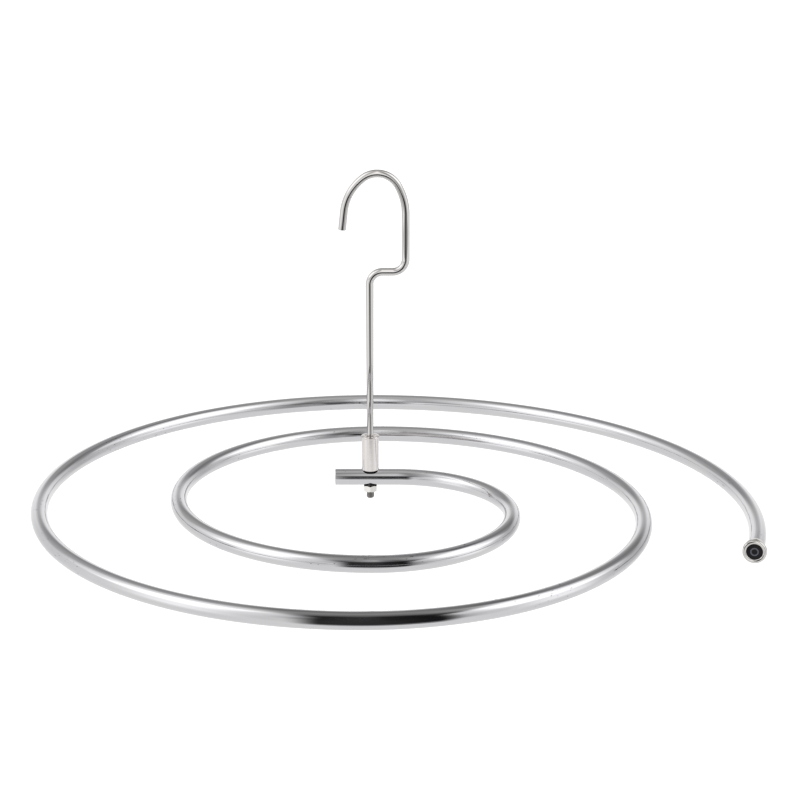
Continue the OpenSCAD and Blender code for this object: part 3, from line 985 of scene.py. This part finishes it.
below = (FLOOR_TONE / BRIGHTEST,) * 3 + (1,)
above = tuple(level / BRIGHTEST for level in TOP_TONE) + (1,)
cloth_tone = add(sky, "ShaderNodeMix", {0: rising(-32, -10), 6: below, 7: cloth_band(LOW)},
                 data_type="RGBA").outputs[2]
cloth_tone = add(sky, "ShaderNodeMix", {0: rising(12, 24), 6: cloth_tone, 7: cloth_band(HIGH)},
                 data_type="RGBA").outputs[2]
cloth_tone = add(sky, "ShaderNodeMix", {0: rising(50, 84), 6: cloth_tone, 7: above},
                 data_type="RGBA").outputs[2]
backdrop = sky.nodes["Background"]
sky.links.new(cloth_tone, backdrop.inputs["Color"])
backdrop.inputs["Strength"].default_value = BRIGHTEST
# White cloth comes out white, with no film curve
bpy.context.scene.view_settings.view_transform = "Standard"

# ---------------------------------------------------------------- tent slit
# The dark slit in the front of the tent, close before the coil, and the flap above it that
# leans back over the coil. Only polished metal shows them.
SLIT_AHEAD = 0.45
SLIT_SIDE = 0.035
SLIT_HALF_WIDTH = 0.17
SLIT_FOOT = -0.2
SLIT_FULL = -0.08
SLIT_TOP = 0.17
SLIT_DENSITY = 0.97
FLAP_DEPTH = 0.42
FLAP_FADE = (0.06, 0.2)
FLAP_DENSITY = 0.4
slit_mesh = bmesh.new()
slit_rows = []
for back, up in [(0, SLIT_FOOT), (0, SLIT_TOP), (FLAP_DEPTH, SLIT_TOP)]:
    slit_rows.append([slit_mesh.verts.new((SLIT_SIDE + side * SLIT_HALF_WIDTH, back, up))
                      for side in (-1, 1)])
for lower, upper in zip(slit_rows, slit_rows[1:]):
    slit_mesh.faces.new([lower[0], lower[1], upper[1], upper[0]])
slit = host_object("tent_slit")
slit_mesh.to_mesh(slit.data)
slit_mesh.free()
slit.location = coil_centre - Vector((0, SLIT_AHEAD, 0))
slit.visible_camera = False
slit.visible_diffuse = False
slit.visible_shadow = False
slit_finish = bpy.data.materials.new("dark slit")
slit_finish.use_nodes = True
slit_tree = slit_finish.node_tree
slit_tree.nodes.remove(slit_tree.nodes["Principled BSDF"])
slit_place = add(slit_tree, "ShaderNodeTexCoord").outputs["Object"]
right, away, up = add(slit_tree, "ShaderNodeSeparateXYZ", {0: slit_place}).outputs
from_middle = add(slit_tree, "ShaderNodeMath", {0: right, 1: SLIT_SIDE},
                  operation="SUBTRACT").outputs[0]
from_middle = add(slit_tree, "ShaderNodeMath", {0: from_middle}, operation="ABSOLUTE").outputs[0]
thin_side = add(slit_tree, "ShaderNodeMapRange",
                {"Value": from_middle, "From Min": SLIT_HALF_WIDTH * 0.6,
                 "From Max": SLIT_HALF_WIDTH, "To Min": 1.0, "To Max": 0.0},
                interpolation_type="SMOOTHSTEP").outputs[0]
thin_foot = add(slit_tree, "ShaderNodeMapRange",
                {"Value": up, "From Min": SLIT_FOOT, "From Max": SLIT_FULL}).outputs[0]
thin_back = add(slit_tree, "ShaderNodeMapRange",
                {"Value": away, "From Min": FLAP_FADE[0], "From Max": FLAP_FADE[1],
                 "To Min": SLIT_DENSITY, "To Max": FLAP_DENSITY}).outputs[0]
density = add(slit_tree, "ShaderNodeMath", {0: thin_side, 1: thin_foot},
              operation="MULTIPLY").outputs[0]
density = add(slit_tree, "ShaderNodeMath", {0: density, 1: thin_back},
              operation="MULTIPLY").outputs[0]
dark = add(slit_tree, "ShaderNodeEmission", {"Color": colour("#08070A"), "Strength": 1.0}).outputs[0]
clear = add(slit_tree, "ShaderNodeBsdfTransparent").outputs[0]
slit_look = add(slit_tree, "ShaderNodeMixShader", {0: density, 1: clear, 2: dark}).outputs[0]
slit_tree.links.new(slit_look, slit_tree.nodes["Material Output"].inputs["Surface"])
slit.data.materials.append(slit_finish)
